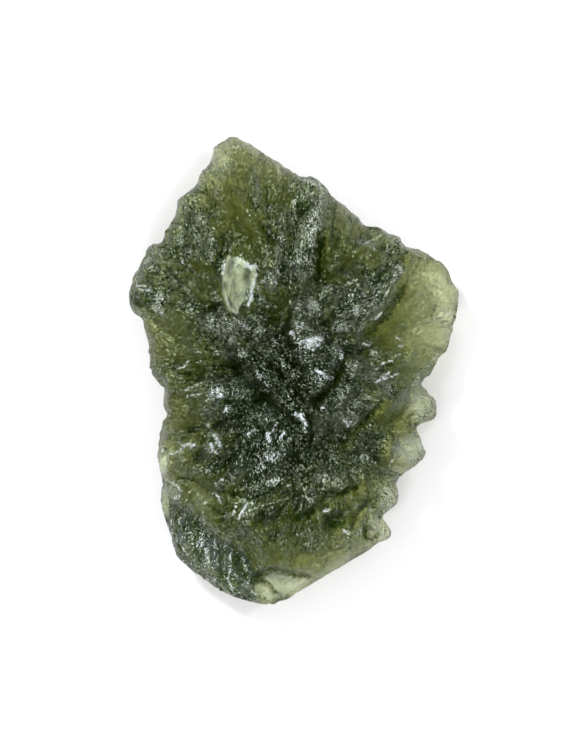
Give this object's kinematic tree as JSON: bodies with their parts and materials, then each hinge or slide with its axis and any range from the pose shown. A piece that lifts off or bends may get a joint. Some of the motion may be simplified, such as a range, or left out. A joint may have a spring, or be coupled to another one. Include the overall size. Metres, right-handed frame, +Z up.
{
  "type": "moldavite",
  "caption": "Natural shard of green tektite glass: a broad, flattish leaf with a fingered rim, fanned ridges and furrows on both faces and a thin, pale shoulder.",
  "frame": {"origin": "centre of the bounding box's bottom face, on the ground under the shard", "axes": "+Y along the shard from its foot to its pointed tip, +X towards the thin right shoulder, +Z up from the worn spots of the underside to the ridged upper face"},
  "size_m": [0.0236, 0.0334, 0.0094],
  "materials": {
    "moldavite glass": "translucent bottle-green natural glass, finely etched and grainy on the ridges, glossy on fresh chips"
  },
  "bodies": {
    "root": {"moldavite": "moldavite glass"}
  },
  "joints": []
}
